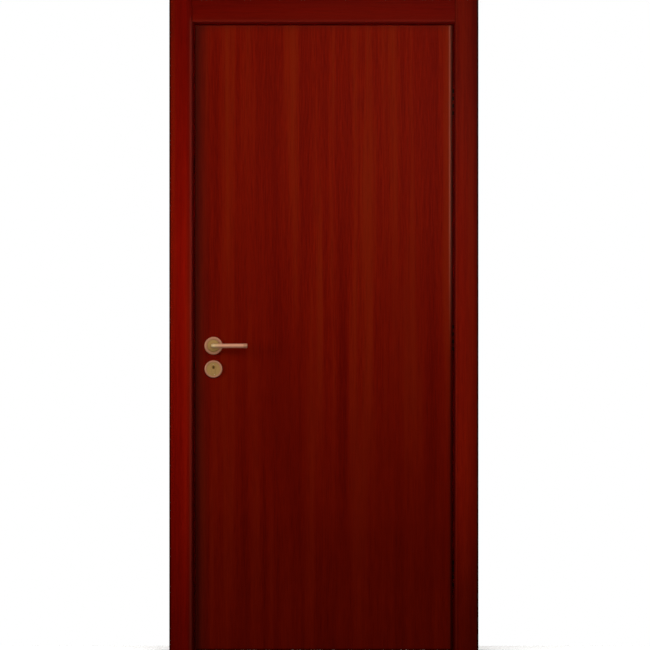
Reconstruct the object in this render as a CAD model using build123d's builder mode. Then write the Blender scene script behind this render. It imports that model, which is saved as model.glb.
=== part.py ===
from build123d import *

import math
import os

# A flush door set in millimetres: a veneered leaf hung in a timber lining on concealed hinges.
# X runs towards the hinge side, Y away from the viewer and Z up. The origin is at the floor,
# on the wall face of the hinge jamb, in the middle of the wall.

# Leaf sizes
leaf_width = 840.0
leaf_height = 2040.0
leaf_thickness = 40.0
skin_thickness = 4.0
lipping_thickness = 10.0
leaf_arris = 3.0
lock_edge_bevel = 2.0

# Lining sizes
wall_depth = 120.0
jamb_thickness = 30.0
jamb_arris = 3.0
stop_thickness = 15.0
stop_depth = 40.0
stop_arris = 2.0
architrave_width = 75.0
architrave_thickness = 15.0
architrave_round = 4.5
architrave_end_arris = 1.5
architrave_margin = 4.0

# Gaps
side_gap = 5.0
head_gap = 5.0
floor_gap = 6.0
stop_gap = 5.0

# Rubber seal
seal_bulb = 4.4
seal_hollow = 2.2
seal_stem = 2.4
seal_stem_length = 5.0
seal_inset = 5.0
seal_relief = 0.6
seal_fit = 0.1

# Concealed hinges
hinge_end_inset = 250.0
hinge_plate_height = 160.0
hinge_plate_width = 28.0
hinge_plate_thickness = 3.0
hinge_body_height = 116.0
hinge_body_width = 28.0
hinge_body_depth = 22.0
hinge_arc_radius = 20.0
hinge_arc_half_angle = 50.0
link_width = 8.0
link_plate_thickness = 12.0
link_plate_pitch = 24.0
link_plate_count = 4
link_pin_radius = 2.5
link_pin_spread = 35.0
link_clearance = 1.0
hinge_screw_radius = 2.2
hinge_screw_head_radius = 4.4
hinge_screw_inset = 11.0

# Lock
lever_height = 1000.0
backset = 60.0
cylinder_drop = 70.0
lock_case_height = 165.0
lock_case_thickness = 15.0
lock_case_depth = 85.0
lock_case_top = 45.0
lock_case_fit = 0.5
faceplate_height = 235.0
faceplate_width = 20.0
faceplate_thickness = 3.0
bolt_width = 12.0
bolt_length = 40.0
bolt_fit = 0.3
latch_height = 24.0
latch_rise = 12.0
latch_nose = 9.0
dead_bolt_height = 30.0
dead_bolt_drop = 42.0
dead_bolt_arris = 0.8
plate_screw_radius = 2.2
plate_screw_head_radius = 4.4
plate_screw_inset = 10.0

# Strike plate
strike_height = 190.0
strike_width = 24.0
strike_thickness = 3.0
strike_corner = 4.0
strike_lip_height = 44.0
strike_lip_inset = 4.0
strike_clearance = 1.5
strike_pocket_depth = 15.0

# Key cylinder, the European profile
plug_radius = 8.5
cylinder_tail_width = 10.0
cylinder_total_height = 33.0
cylinder_proud = 1.0
cylinder_fit = 0.4
keyway_width = 2.4
keyway_height = 9.0
keyway_depth = 24.0

# Rose and escutcheon
rose_radius = 29.5
rose_thickness = 7.0
rose_edge_slope = 2.0
rose_edge_width = 2.6
rose_groove_radius = 19.5
rose_groove_width = 1.2
rose_groove_depth = 1.6
rose_boss_rise = 2.0
rose_boss_arris = 1.0
escutcheon_radius = 29.0
escutcheon_thickness = 8.0
escutcheon_rim_width = 6.5
escutcheon_recess = 1.6
escutcheon_edge_slope = 2.0
escutcheon_edge_width = 2.6
escutcheon_drop = 76.0

# Lever
bar_radius = 7.25
bar_standoff = 50.0
bar_reach = 111.0
bar_bend = 9.0
bar_cap_radius = 7.9
bar_cap_length = 12.0
bar_cap_arris = 0.8
neck_clearance = 0.5
neck_start = 3.0
spindle_side = 8.0
spindle_socket = 26.0
spindle_fit = 0.1
spindle_hole_radius = 6.5
leaf_lever_hole_radius = 10.0

# Fixing holes through the jambs
fixing_radius = 4.0
fixing_spacing = 250.0

# Places across the doorway
jamb_face_x = -jamb_thickness
leaf_hinge_x = jamb_face_x - side_gap
leaf_lock_x = leaf_hinge_x - leaf_width
lock_jamb_face_x = leaf_lock_x - side_gap
lock_jamb_wall_x = lock_jamb_face_x - jamb_thickness
swing_x = (jamb_face_x + leaf_hinge_x) / 2
lever_x = leaf_lock_x + backset

# Places through the wall
wall_front_y = -wall_depth / 2
leaf_front_y = wall_front_y
leaf_back_y = leaf_front_y + leaf_thickness
leaf_middle_y = (leaf_front_y + leaf_back_y) / 2
core_front_y = leaf_front_y + skin_thickness
core_back_y = leaf_back_y - skin_thickness
core_thickness = core_back_y - core_front_y
stop_front_y = leaf_back_y + stop_gap
hinge_y = leaf_front_y + hinge_arc_radius
leaf_middle = Plane.XZ.offset(-leaf_middle_y)

# Heights
leaf_bottom_z = floor_gap
leaf_top_z = leaf_bottom_z + leaf_height
head_face_z = leaf_top_z + head_gap
jamb_top_z = head_face_z + jamb_thickness
stop_under_z = head_face_z - stop_thickness
architrave_inner_z = head_face_z + architrave_margin
architrave_top_z = architrave_inner_z + architrave_width
cylinder_z = lever_height - cylinder_drop
escutcheon_z = lever_height - escutcheon_drop
lock_case_z = lever_height + lock_case_top - lock_case_height / 2
latch_z = lever_height + latch_rise
dead_bolt_z = lever_height - dead_bolt_drop
lower_hinge_z = leaf_bottom_z + hinge_end_inset
upper_hinge_z = leaf_top_z - hinge_end_inset
middle_hinge_z = (lower_hinge_z + upper_hinge_z) / 2
hinge_heights = (lower_hinge_z, middle_hinge_z, upper_hinge_z)
fixing_heights = [
    (middle_hinge_z + end_hinge_z) / 2 + offset
    for end_hinge_z in (lower_hinge_z, upper_hinge_z)
    for offset in (-fixing_spacing / 2, fixing_spacing / 2)
]

# The lock edge of the leaf is bevelled, so that its back corner clears the jamb as it swings.
bevel = math.radians(lock_edge_bevel)


def lock_edge_x(y):
    return leaf_lock_x + (y - leaf_front_y) * math.tan(bevel)


lock_edge = Plane(
    origin=(lock_edge_x(leaf_middle_y), leaf_middle_y, 0),
    x_dir=(-math.sin(bevel), -math.cos(bevel), 0),
    z_dir=(-math.cos(bevel), math.sin(bevel), 0),
)
lock_case_front_x = lock_edge_x(leaf_middle_y + faceplate_width / 2) + faceplate_thickness / math.cos(bevel)
parts = {}


def keep(name, builder):
    builder.part.label = name
    parts[name] = builder.part


# Shapes that several pieces share
def euro_profile(clearance):
    """The plug circle with its tail below, with its origin at the plug's centre."""
    tail = cylinder_total_height - plug_radius - cylinder_tail_width / 2
    Circle(plug_radius + clearance)
    with Locations((0, -tail / 2)):
        Rectangle(cylinder_tail_width + 2 * clearance, tail)
    with Locations((0, -tail)):
        Circle(cylinder_tail_width / 2 + clearance)


def hinge_mortises(face_plane, depth_sign):
    """The recess for each hinge plate and the deeper one for its body, cut into the open part."""
    places = [(hinge_y, height) for height in hinge_heights]
    with BuildSketch(face_plane) as plates:
        with Locations(*places):
            SlotOverall(hinge_plate_height, hinge_plate_width, rotation=90)
    extrude(plates.sketch, amount=depth_sign * hinge_plate_thickness, mode=Mode.SUBTRACT)
    with BuildSketch(face_plane) as bodies:
        with Locations(*places):
            RectangleRounded(hinge_body_width, hinge_body_height, hinge_body_width / 4)
    extrude(bodies.sketch, amount=depth_sign * hinge_body_depth, mode=Mode.SUBTRACT)


def hinge_body(height):
    """One hinge body let into the jamb, with the curved pocket in which the link runs."""
    face = Plane.YZ.offset(jamb_face_x)
    pocket_height = (link_plate_count - 1) * link_plate_pitch + link_plate_thickness + 2 * link_clearance
    screw_offset = hinge_plate_height / 2 - hinge_screw_inset
    with BuildPart() as body:
        with BuildSketch(face):
            with Locations((hinge_y, height)):
                SlotOverall(hinge_plate_height, hinge_plate_width, rotation=90)
        extrude(amount=hinge_plate_thickness)
        with BuildSketch(face):
            with Locations((hinge_y, height)):
                RectangleRounded(hinge_body_width, hinge_body_height, hinge_body_width / 4)
        extrude(amount=hinge_body_depth)
        with BuildSketch(Plane.XY.offset(height)):
            with BuildLine(mode=Mode.PRIVATE):
                centre_line = CenterArc(
                    (swing_x, leaf_front_y),
                    hinge_arc_radius,
                    90 - hinge_arc_half_angle,
                    2 * hinge_arc_half_angle,
                )
            SlotArc(centre_line, link_width + 2 * link_clearance)
        extrude(amount=pocket_height / 2, both=True, mode=Mode.SUBTRACT)
        with Locations(face):
            with Locations((hinge_y, height - screw_offset, 0), (hinge_y, height + screw_offset, 0)):
                with Locations(Rot(180, 0, 0)):
                    CounterSinkHole(hinge_screw_radius, hinge_screw_head_radius, hinge_plate_thickness)
    return body


def hinge_link(height):
    """Curved plates stacked on a pair of pins, turning about the same line as the leaf."""
    stack = (link_plate_count - 1) * link_plate_pitch + link_plate_thickness
    with BuildPart() as link:
        with BuildSketch(
            *[
                Plane.XY.offset(height - stack / 2 + index * link_plate_pitch)
                for index in range(link_plate_count)
            ]
        ):
            with BuildLine(mode=Mode.PRIVATE):
                centre_line = CenterArc(
                    (swing_x, leaf_front_y),
                    hinge_arc_radius,
                    90 - hinge_arc_half_angle,
                    2 * hinge_arc_half_angle,
                )
            SlotArc(centre_line, link_width)
        extrude(amount=link_plate_thickness)
        with BuildSketch(Plane.XY.offset(height - stack / 2)):
            with Locations((swing_x, leaf_front_y)):
                with PolarLocations(
                    hinge_arc_radius,
                    2,
                    start_angle=90 - link_pin_spread,
                    angular_range=2 * link_pin_spread,
                    endpoint=True,
                ):
                    Circle(link_pin_radius)
        extrude(amount=stack)
    return link


def seal_profile():
    """A hollow bulb in front of the stop, with its stem running back into the groove."""
    Rectangle(seal_stem, seal_stem_length, align=(Align.CENTER, Align.MIN))
    with Locations((0, -seal_bulb / 2 + seal_relief)):
        Circle(seal_bulb / 2)
        Circle(seal_hollow / 2, mode=Mode.SUBTRACT)


def seal_groove_profile():
    groove_width = seal_stem + 2 * seal_fit
    Rectangle(groove_width, seal_stem_length + seal_fit, align=(Align.CENTER, Align.MIN))
    with Locations((0, -seal_bulb / 2 + seal_relief)):
        Circle(seal_bulb / 2 + seal_fit)


def side_stop(face_x, inward):
    """A stop strip on one jamb, with the groove for its seal and that seal's line."""
    seal_plane = Plane(origin=(face_x + inward * (stop_thickness - seal_inset), stop_front_y, 0))
    with BuildPart() as stop:
        with BuildSketch():
            with Locations((face_x + inward * stop_thickness / 2, stop_front_y + stop_depth / 2)):
                Rectangle(stop_thickness, stop_depth)
        extrude(amount=stop_under_z)
        outer_edges = stop.edges().filter_by(Axis.Z).sort_by(Axis.X)
        fillet(outer_edges[-2:] if inward > 0 else outer_edges[:2], radius=stop_arris)
        with BuildSketch(seal_plane):
            seal_groove_profile()
        extrude(amount=stop_under_z, mode=Mode.SUBTRACT)
    with BuildPart() as seal:
        with BuildSketch(seal_plane):
            seal_profile()
        extrude(amount=stop_under_z)
    return stop, seal


def architrave_leg(inner_x, outward):
    """One full-height leg on the front face of the wall, its long edges and top eased."""
    with BuildPart() as leg:
        with BuildSketch():
            with Locations((inner_x + outward * architrave_width / 2, wall_front_y - architrave_thickness / 2)):
                Rectangle(architrave_width, architrave_thickness)
        extrude(amount=architrave_top_z)
        face_edges = leg.faces().sort_by(Axis.Y)[0].edges()
        fillet(face_edges.filter_by(Axis.Z), radius=architrave_round)
        top_front_edges = leg.faces().sort_by(Axis.Z)[-1].edges().sort_by(Axis.Y)[0]
        fillet(top_front_edges, radius=architrave_end_arris)
    return leg


def mirrored_through(builder, plane):
    """The same piece on the far side of the plane."""
    with BuildPart() as twin:
        mirror(builder.part, about=plane)
    return twin


# Hinge jamb, with mortises for the hinge bodies and holes for the fixings
with BuildPart() as hinge_jamb:
    with BuildSketch():
        Rectangle(jamb_thickness, wall_depth, align=(Align.MAX, Align.CENTER))
    extrude(amount=jamb_top_z)
    fillet(hinge_jamb.edges().filter_by(Axis.Z).sort_by(Axis.X)[:2], radius=jamb_arris)
    hinge_mortises(Plane.YZ.offset(jamb_face_x), 1)
    with Locations(Plane.YZ.offset(jamb_face_x)):
        with Locations(*[(leaf_middle_y, height) for height in fixing_heights]):
            Hole(fixing_radius)
keep("hinge_jamb", hinge_jamb)

# Strike plate, let into the lock jamb with a lip out to its front edge
strike_plane = Plane.YZ.offset(lock_jamb_face_x)
latch_window = bolt_width + 2 * strike_clearance
strike_z = lock_case_z
with BuildPart() as strike_plate:
    with BuildSketch(strike_plane) as strike_outline:
        with Locations((leaf_middle_y, strike_z)):
            RectangleRounded(strike_width, strike_height, strike_corner)
        with Locations(((leaf_middle_y + leaf_front_y + strike_lip_inset) / 2, latch_z)):
            Rectangle(leaf_middle_y - leaf_front_y - strike_lip_inset, strike_lip_height)
    extrude(amount=-strike_thickness)
    with BuildSketch(strike_plane) as strike_windows:
        with Locations((leaf_middle_y, latch_z)):
            Rectangle(latch_window, latch_height + 2 * strike_clearance)
        with Locations((leaf_middle_y, dead_bolt_z)):
            Rectangle(latch_window, dead_bolt_height + 2 * strike_clearance)
    extrude(amount=-strike_thickness, mode=Mode.SUBTRACT)
    with Locations(strike_plane):
        with Locations(
            (leaf_middle_y, strike_z - strike_height / 2 + plate_screw_inset, 0),
            (leaf_middle_y, strike_z + strike_height / 2 - plate_screw_inset, 0),
        ):
            CounterSinkHole(plate_screw_radius, plate_screw_head_radius, strike_thickness)
keep("strike_plate", strike_plate)

# Lock jamb, cut for the strike plate and for the pockets behind its windows
with BuildPart() as lock_jamb:
    with BuildSketch():
        with Locations((lock_jamb_wall_x, 0)):
            Rectangle(jamb_thickness, wall_depth, align=(Align.MIN, Align.CENTER))
    extrude(amount=jamb_top_z)
    fillet(lock_jamb.edges().filter_by(Axis.Z).sort_by(Axis.X)[-2:], radius=jamb_arris)
    extrude(strike_outline.sketch, amount=-strike_thickness, mode=Mode.SUBTRACT)
    extrude(strike_windows.sketch, amount=-strike_pocket_depth, mode=Mode.SUBTRACT)
    with Locations(strike_plane):
        with Locations(*[(leaf_middle_y, height) for height in fixing_heights]):
            Hole(fixing_radius)
keep("lock_jamb", lock_jamb)

# Head jamb, between the side jambs
with BuildPart() as head_jamb:
    with BuildSketch(Plane.YZ.offset(lock_jamb_face_x)):
        with Locations((0, head_face_z)):
            Rectangle(wall_depth, jamb_thickness, align=(Align.CENTER, Align.MIN))
    extrude(amount=jamb_face_x - lock_jamb_face_x)
    fillet(head_jamb.edges().filter_by(Axis.X).sort_by(Axis.Z)[:2], radius=jamb_arris)
keep("head_jamb", head_jamb)

# Stops and their rubber seals, the head ones running over the side ones
hinge_stop, hinge_seal = side_stop(jamb_face_x, -1)
lock_stop, lock_seal = side_stop(lock_jamb_face_x, 1)
head_seal_plane = Plane(
    origin=(lock_jamb_face_x, stop_front_y, stop_under_z + seal_inset),
    x_dir=(0, 0, -1),
    z_dir=(1, 0, 0),
)
with BuildPart() as head_stop:
    with BuildSketch(Plane.YZ.offset(lock_jamb_face_x)):
        with Locations((stop_front_y, stop_under_z)):
            Rectangle(stop_depth, stop_thickness, align=Align.MIN)
    extrude(amount=jamb_face_x - lock_jamb_face_x)
    fillet(head_stop.edges().filter_by(Axis.X).sort_by(Axis.Z)[:2], radius=stop_arris)
    with BuildSketch(head_seal_plane):
        seal_groove_profile()
    extrude(amount=jamb_face_x - lock_jamb_face_x, mode=Mode.SUBTRACT)
with BuildPart() as head_seal:
    with BuildSketch(head_seal_plane):
        seal_profile()
    extrude(amount=jamb_face_x - lock_jamb_face_x)
keep("hinge_stop", hinge_stop)
keep("lock_stop", lock_stop)
keep("head_stop", head_stop)
keep("hinge_seal", hinge_seal)
keep("lock_seal", lock_seal)
keep("head_seal", head_seal)

# Architraves on the front, their heads fitted between full-height legs, and the same behind
hinge_leg_x = jamb_face_x + architrave_margin
lock_leg_x = lock_jamb_face_x - architrave_margin
front_hinge_leg = architrave_leg(hinge_leg_x, 1)
front_lock_leg = architrave_leg(lock_leg_x, -1)
with BuildPart() as front_head:
    with BuildSketch(Plane.YZ.offset(lock_leg_x)):
        with Locations((wall_front_y, architrave_inner_z)):
            Rectangle(architrave_thickness, architrave_width, align=(Align.MAX, Align.MIN))
    extrude(amount=hinge_leg_x - lock_leg_x)
    head_face_edges = front_head.faces().sort_by(Axis.Y)[0].edges()
    fillet(head_face_edges.filter_by(Axis.X), radius=architrave_round)
    head_end_edges = front_head.faces().sort_by(Axis.Y)[0].edges().filter_by(Axis.Z)
    chamfer(head_end_edges, length=architrave_end_arris)
for side, builder in (
    ("hinge_leg", front_hinge_leg),
    ("lock_leg", front_lock_leg),
    ("head", front_head),
):
    keep(f"front_architrave_{side}", builder)
    keep(f"back_architrave_{side}", mirrored_through(builder, Plane.XZ))

# Hinge bodies in the jamb, the same ones turned round in the leaf, and the links between
for place, height in zip(("lower", "middle", "upper"), hinge_heights):
    frame_hinge = hinge_body(height)
    leaf_hinge = mirrored_through(frame_hinge, Plane.YZ.offset(swing_x))
    keep(f"{place}_frame_hinge", frame_hinge)
    keep(f"{place}_leaf_hinge", leaf_hinge)
    keep(f"{place}_hinge_link", hinge_link(height))


# Leaf: two veneered skins on a core framed by lippings
def leaf_outline(near_y, far_y):
    """The leaf's width between two depths, with the bevel of its lock edge."""
    with BuildLine() as outline:
        Polyline(
            (lock_edge_x(near_y), near_y),
            (leaf_hinge_x, near_y),
            (leaf_hinge_x, far_y),
            (lock_edge_x(far_y), far_y),
            close=True,
        )
    make_face(outline.edges())


def lock_cut(depth_plane, depth):
    """The holes through which the lever's neck and the key cylinder pass the leaf."""
    with BuildSketch(depth_plane) as holes:
        with Locations((lever_x, lever_height)):
            Circle(leaf_lever_hole_radius)
        with Locations((lever_x, cylinder_z)):
            euro_profile(cylinder_fit)
    extrude(holes.sketch, amount=-depth, mode=Mode.SUBTRACT)


def skin(near_y, far_y, show_end):
    """One face panel, its four outer arrises rounded."""
    with BuildPart() as panel:
        with BuildSketch(Plane.XY.offset(leaf_bottom_z)):
            leaf_outline(near_y, far_y)
        extrude(amount=leaf_height)
        fillet(panel.faces().sort_by(Axis.Y)[show_end].edges(), radius=leaf_arris)
        lock_cut(Plane.XZ.offset(-near_y), far_y - near_y)
    return panel


keep("front_skin", skin(leaf_front_y, core_front_y, 0))
keep("back_skin", skin(core_back_y, leaf_back_y, -1))

leaf_hinge_plane = Plane.YZ.offset(leaf_hinge_x)
with BuildPart() as hinge_lipping:
    with BuildSketch(Plane.XY.offset(leaf_bottom_z)):
        with Locations((leaf_hinge_x, leaf_middle_y)):
            Rectangle(lipping_thickness, core_thickness, align=(Align.MAX, Align.CENTER))
    extrude(amount=leaf_height)
    hinge_mortises(leaf_hinge_plane, -1)
keep("hinge_edge_lipping", hinge_lipping)

with BuildPart() as lock_lipping:
    with BuildSketch(Plane.XY.offset(leaf_bottom_z)):
        leaf_outline(core_front_y, core_back_y)
        with Locations((leaf_lock_x + lipping_thickness, leaf_middle_y)):
            Rectangle(leaf_width, core_thickness, align=(Align.MIN, Align.CENTER), mode=Mode.SUBTRACT)
    extrude(amount=leaf_height)
    with BuildSketch(lock_edge):
        with Locations((0, lock_case_z)):
            SlotOverall(faceplate_height, faceplate_width, rotation=90)
    extrude(amount=-faceplate_thickness, mode=Mode.SUBTRACT)
    with BuildSketch(lock_edge):
        with Locations((0, lock_case_z)):
            Rectangle(lock_case_thickness + 2 * lock_case_fit, lock_case_height + 2 * lock_case_fit)
    extrude(amount=-2 * lipping_thickness, mode=Mode.SUBTRACT)
keep("lock_edge_lipping", lock_lipping)

core_low_x = leaf_lock_x + lipping_thickness
core_high_x = leaf_hinge_x - lipping_thickness
for name, low_z in (("bottom_lipping", leaf_bottom_z), ("top_lipping", leaf_top_z - lipping_thickness)):
    with BuildPart() as rail:
        with BuildSketch(Plane.XY.offset(low_z)):
            with Locations((core_low_x, leaf_middle_y)):
                Rectangle(core_high_x - core_low_x, core_thickness, align=(Align.MIN, Align.CENTER))
        extrude(amount=lipping_thickness)
    keep(name, rail)

with BuildPart() as leaf_core:
    with BuildSketch(Plane.XY.offset(leaf_bottom_z + lipping_thickness)):
        with Locations((core_low_x, leaf_middle_y)):
            Rectangle(core_high_x - core_low_x, core_thickness, align=(Align.MIN, Align.CENTER))
    extrude(amount=leaf_height - 2 * lipping_thickness)
    hinge_mortises(leaf_hinge_plane, -1)
    with BuildSketch(Plane.XZ.offset(-leaf_middle_y)):
        with Locations((leaf_lock_x, lock_case_z)):
            Rectangle(
                lock_case_depth + lock_case_fit,
                lock_case_height + 2 * lock_case_fit,
                align=(Align.MIN, Align.CENTER),
            )
    extrude(amount=lock_case_thickness / 2 + lock_case_fit, both=True, mode=Mode.SUBTRACT)
    lock_cut(Plane.XZ.offset(-core_front_y), core_thickness)
keep("leaf_core", leaf_core)


# Mortise lock: case, faceplate, and the latch and dead bolt drawn back flush with the plate
def bolt_outlines(clearance):
    """The latch and the dead bolt as they come through the faceplate."""
    with Locations((0, latch_z)):
        Rectangle(bolt_width + 2 * clearance, latch_height + 2 * clearance)
    with Locations((0, dead_bolt_z)):
        Rectangle(bolt_width + 2 * clearance, dead_bolt_height + 2 * clearance)


with BuildPart() as lock_case:
    with BuildSketch(Plane.XZ.offset(-leaf_middle_y)):
        with Locations((lock_case_front_x, lock_case_z)):
            Rectangle(
                leaf_lock_x + lock_case_depth - lock_case_front_x,
                lock_case_height,
                align=(Align.MIN, Align.CENTER),
            )
    extrude(amount=lock_case_thickness / 2, both=True)
    with BuildSketch(lock_edge):
        bolt_outlines(bolt_fit)
    extrude(amount=-(bolt_length + bolt_fit), mode=Mode.SUBTRACT)
    with BuildSketch(Plane.XZ.offset(-leaf_middle_y)):
        with Locations((lever_x, lever_height)):
            Circle(spindle_hole_radius)
        with Locations((lever_x, cylinder_z)):
            euro_profile(cylinder_fit)
    extrude(amount=lock_case_thickness, both=True, mode=Mode.SUBTRACT)
keep("lock_case", lock_case)

with BuildPart() as faceplate:
    with BuildSketch(lock_edge):
        with Locations((0, lock_case_z)):
            SlotOverall(faceplate_height, faceplate_width, rotation=90)
        with Locations((0, latch_z)):
            Rectangle(bolt_width + 2 * bolt_fit, latch_height + 2 * bolt_fit, mode=Mode.SUBTRACT)
        with Locations((0, dead_bolt_z)):
            Rectangle(bolt_width + 2 * bolt_fit, dead_bolt_height + 2 * bolt_fit, mode=Mode.SUBTRACT)
    extrude(amount=-faceplate_thickness)
    with Locations(lock_edge):
        with Locations(
            (0, lock_case_z - faceplate_height / 2 + plate_screw_inset, 0),
            (0, cylinder_z, 0),
            (0, lock_case_z + faceplate_height / 2 - plate_screw_inset, 0),
        ):
            CounterSinkHole(plate_screw_radius, plate_screw_head_radius, faceplate_thickness)
keep("faceplate", faceplate)

with BuildPart() as latch_bolt:
    with BuildSketch(lock_edge):
        with Locations((0, latch_z)):
            Rectangle(bolt_width, latch_height)
    extrude(amount=-bolt_length)
    nose_edge = latch_bolt.edges().filter_by(Axis.Z).sort_by(Axis.X)[:2].sort_by(Axis.Y)[-1]
    chamfer(nose_edge, length=latch_nose, length2=bolt_width - 2 * bolt_fit)
keep("latch_bolt", latch_bolt)

with BuildPart() as dead_bolt:
    with BuildSketch(lock_edge):
        with Locations((0, dead_bolt_z)):
            Rectangle(bolt_width, dead_bolt_height)
    extrude(amount=-bolt_length)
    chamfer(dead_bolt.faces().sort_by(Axis.X)[0].edges(), length=dead_bolt_arris)
keep("dead_bolt", dead_bolt)

# Rose with its raised boss, turned about the lever's axis
rose_plane = Plane(origin=(lever_x, leaf_front_y, lever_height), x_dir=(1, 0, 0), z_dir=(0, 0, -1))
neck_bore = bar_radius + neck_clearance
boss_radius = rose_groove_radius - rose_groove_width / 2
with BuildPart() as front_rose:
    with BuildSketch(rose_plane):
        with Locations((neck_bore, 0)):
            Rectangle(rose_radius - neck_bore, rose_thickness, align=Align.MIN)
            Rectangle(boss_radius - neck_bore, rose_thickness + rose_boss_rise, align=Align.MIN)
        with Locations((boss_radius, rose_thickness)):
            Rectangle(rose_groove_width, rose_groove_depth, align=(Align.MIN, Align.MAX), mode=Mode.SUBTRACT)
    revolve(axis=Axis((lever_x, leaf_front_y, lever_height), (0, 1, 0)))
    rim_face, boss_face = front_rose.faces().filter_by(Axis.Y).sort_by(Axis.Y)[:2][::-1]
    chamfer(
        rim_face.edges().sort_by(SortBy.RADIUS)[-1],
        length=rose_edge_width,
        length2=rose_edge_slope,
        reference=rim_face,
    )
    chamfer(boss_face.edges().sort_by(SortBy.RADIUS)[-1], length=rose_boss_arris)
keep("front_rose", front_rose)
keep("back_rose", mirrored_through(front_rose, leaf_middle))

# Key escutcheon with a raised rim, cut through to the cylinder
escutcheon_plane = Plane.XZ.offset(-leaf_front_y)
with BuildPart() as front_escutcheon:
    with BuildSketch(escutcheon_plane):
        with Locations((lever_x, escutcheon_z)):
            Circle(escutcheon_radius)
    extrude(amount=escutcheon_thickness)
    rim_face = front_escutcheon.faces().sort_by(Axis.Y)[0]
    chamfer(rim_face.edges(), length=escutcheon_edge_width, length2=escutcheon_edge_slope, reference=rim_face)
    with BuildSketch(escutcheon_plane.offset(escutcheon_thickness)):
        with Locations((lever_x, escutcheon_z)):
            Circle(escutcheon_radius - escutcheon_rim_width)
    extrude(amount=-escutcheon_recess, mode=Mode.SUBTRACT)
    with BuildSketch(escutcheon_plane):
        with Locations((lever_x, cylinder_z)):
            euro_profile(cylinder_fit)
    extrude(amount=escutcheon_thickness, mode=Mode.SUBTRACT)
keep("front_escutcheon", front_escutcheon)
keep("back_escutcheon", mirrored_through(front_escutcheon, leaf_middle))

# Key cylinder running through the leaf, with a keyway in each end
cylinder_half_length = leaf_thickness / 2 + escutcheon_thickness - escutcheon_recess + cylinder_proud
with BuildPart() as key_cylinder:
    with BuildSketch(Plane.XZ.offset(-leaf_middle_y)):
        with Locations((lever_x, cylinder_z)):
            euro_profile(0)
    extrude(amount=cylinder_half_length, both=True)
    for end, inward in ((cylinder_half_length, -1), (-cylinder_half_length, 1)):
        with BuildSketch(Plane.XZ.offset(-leaf_middle_y + end)):
            with Locations((lever_x, cylinder_z)):
                SlotOverall(keyway_height, keyway_width, rotation=90)
        extrude(amount=inward * keyway_depth, mode=Mode.SUBTRACT)
keep("key_cylinder", key_cylinder)

# Lever: one round bar bent from its neck along the leaf, with a slightly thicker cap at the tip
bar_y = leaf_front_y - bar_standoff
cap_x = lever_x + bar_reach - bar_cap_length
with BuildPart() as front_lever:
    with BuildLine():
        FilletPolyline(
            (lever_x, leaf_front_y - neck_start, lever_height),
            (lever_x, bar_y, lever_height),
            (cap_x, bar_y, lever_height),
            radius=bar_bend,
        )
    with BuildSketch(Plane.XZ.offset(-leaf_front_y + neck_start)):
        with Locations((lever_x, lever_height)):
            Circle(bar_radius)
    sweep()
    with BuildSketch(Plane.YZ.offset(cap_x)):
        with Locations((bar_y, lever_height)):
            Circle(bar_cap_radius)
    extrude(amount=bar_cap_length)
    chamfer(front_lever.faces().sort_by(Axis.X)[-1].edges(), length=bar_cap_arris)
    with BuildSketch(Plane.XZ.offset(-leaf_front_y + neck_start)):
        with Locations((lever_x, lever_height)):
            Rectangle(spindle_side + 2 * spindle_fit, spindle_side + 2 * spindle_fit)
    extrude(amount=spindle_socket, mode=Mode.SUBTRACT)
keep("front_lever", front_lever)
keep("back_lever", mirrored_through(front_lever, leaf_middle))

spindle_half_length = leaf_thickness / 2 + neck_start + spindle_socket - spindle_fit
with BuildPart() as spindle:
    with BuildSketch(Plane.XZ.offset(-leaf_middle_y)):
        with Locations((lever_x, lever_height)):
            Rectangle(spindle_side, spindle_side)
    extrude(amount=spindle_half_length, both=True)
keep("spindle", spindle)

os.makedirs("parts", exist_ok=True)
for name, part in parts.items():
    export_step(part, f"parts/{name}.step")
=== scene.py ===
import math

import bmesh
import bpy
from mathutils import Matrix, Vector


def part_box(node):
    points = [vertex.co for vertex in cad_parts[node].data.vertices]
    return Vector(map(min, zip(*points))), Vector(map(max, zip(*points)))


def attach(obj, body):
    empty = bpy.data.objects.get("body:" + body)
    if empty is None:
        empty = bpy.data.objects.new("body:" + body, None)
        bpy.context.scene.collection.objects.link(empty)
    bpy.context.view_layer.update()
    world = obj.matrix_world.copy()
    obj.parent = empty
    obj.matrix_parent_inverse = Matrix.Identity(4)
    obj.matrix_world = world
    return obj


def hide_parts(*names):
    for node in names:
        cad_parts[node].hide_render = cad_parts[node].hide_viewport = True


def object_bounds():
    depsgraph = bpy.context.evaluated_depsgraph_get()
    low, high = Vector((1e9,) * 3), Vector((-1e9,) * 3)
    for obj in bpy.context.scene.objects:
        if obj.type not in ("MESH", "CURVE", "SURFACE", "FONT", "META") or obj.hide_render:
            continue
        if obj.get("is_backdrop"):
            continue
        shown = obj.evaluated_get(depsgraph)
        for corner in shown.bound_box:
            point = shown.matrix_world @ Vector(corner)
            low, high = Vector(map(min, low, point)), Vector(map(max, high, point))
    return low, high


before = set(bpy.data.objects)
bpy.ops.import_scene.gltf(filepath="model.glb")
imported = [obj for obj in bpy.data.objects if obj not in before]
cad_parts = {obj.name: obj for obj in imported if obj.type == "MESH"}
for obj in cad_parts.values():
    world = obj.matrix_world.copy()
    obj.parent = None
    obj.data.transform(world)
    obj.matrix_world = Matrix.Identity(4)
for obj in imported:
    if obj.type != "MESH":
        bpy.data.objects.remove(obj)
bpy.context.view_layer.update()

# Camera: a long lens square on to the front and level with the middle of the door's height, so that the
# door fills the picture from head to foot and both legs look the same.
view_height = 2.1185
view_shift = 0.0037
view_middle_height = 1.0679
camera_distance = 14.0
door_low, door_high = (Vector(corner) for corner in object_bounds())
door_middle = (door_low.x + door_high.x) / 2
front_face_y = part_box("front_architrave_hinge_leg")[0][1]
camera_data = bpy.data.cameras.new("camera")
camera_data.sensor_width = 36.0
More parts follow.
